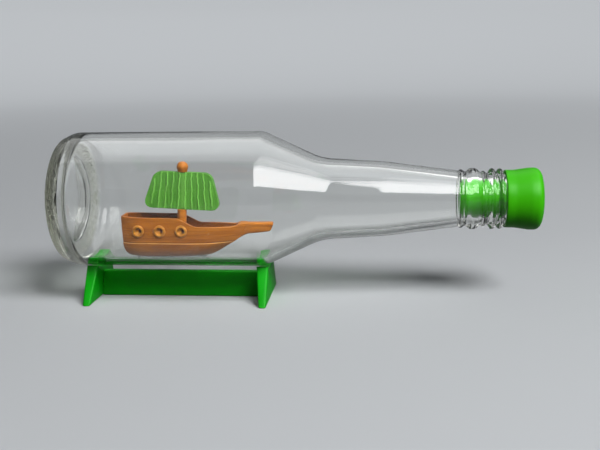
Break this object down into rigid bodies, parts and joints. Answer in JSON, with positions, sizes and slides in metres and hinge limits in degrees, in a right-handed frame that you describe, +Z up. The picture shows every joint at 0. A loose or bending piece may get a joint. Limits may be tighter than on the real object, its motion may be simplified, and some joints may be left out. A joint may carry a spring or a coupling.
{
  "type": "ship in a bottle",
  "caption": "Clear long-necked glass bottle lying on a saddle stand, closed by a flared stopper, with a small single-masted ship glued inside.",
  "frame": {"origin": "on the table, under the middle of the whole object", "axes": "+X along the bottle towards its mouth, +Y across it to the ship's port side, +Z up"},
  "size_m": [0.216, 0.061, 0.0763],
  "materials": {
    "bottle_glass": "clear blown glass, slightly grey-green where thick, stippled round the heel",
    "stopper_green": "satin moulded plastic, yellow-green",
    "stand_green": "satin moulded plastic, pure green",
    "sail_green": "soft matte moulded plastic with raised ribs",
    "ship_brown": "orange-brown moulded plastic with faint level grain lines",
    "clear_adhesive": "clear set adhesive"
  },
  "bodies": {
    "stand": {"cradle_left": "stand_green", "cradle_right": "stand_green", "stretcher": "stand_green"},
    "bottle": {"bottle": "bottle_glass", "hull_bottom": "ship_brown", "hull_topsides": "ship_brown", "deck": "ship_brown", "mast_step": "ship_brown", "mast": "ship_brown", "mast_ball": "ship_brown", "keel_bed": "clear_adhesive", "porthole_port_1": "ship_brown", "porthole_port_2": "ship_brown", "porthole_port_3": "ship_brown", "porthole_starboard_1": "ship_brown", "porthole_starboard_2": "ship_brown", "porthole_starboard_3": "ship_brown"},
    "stopper": {"stopper": "stopper_green"},
    "sail": {"sail": "sail_green"}
  },
  "joints": [
    {"name": "bottle_lift", "type": "slide", "parent": "stand", "child": "bottle", "axis": [0, 0, 1], "range_m": [0, 0.05]},
    {"name": "stopper_pull", "type": "slide", "parent": "bottle", "child": "stopper", "axis": [1, 0, 0], "range_m": [0, 0.03]},
    {"name": "sail_turn", "type": "hinge", "parent": "bottle", "child": "sail", "pos_m": [-0.05246, 0, 0.04117], "axis": [0.0523, 0, 0.9986], "continuous": true}
  ]
}
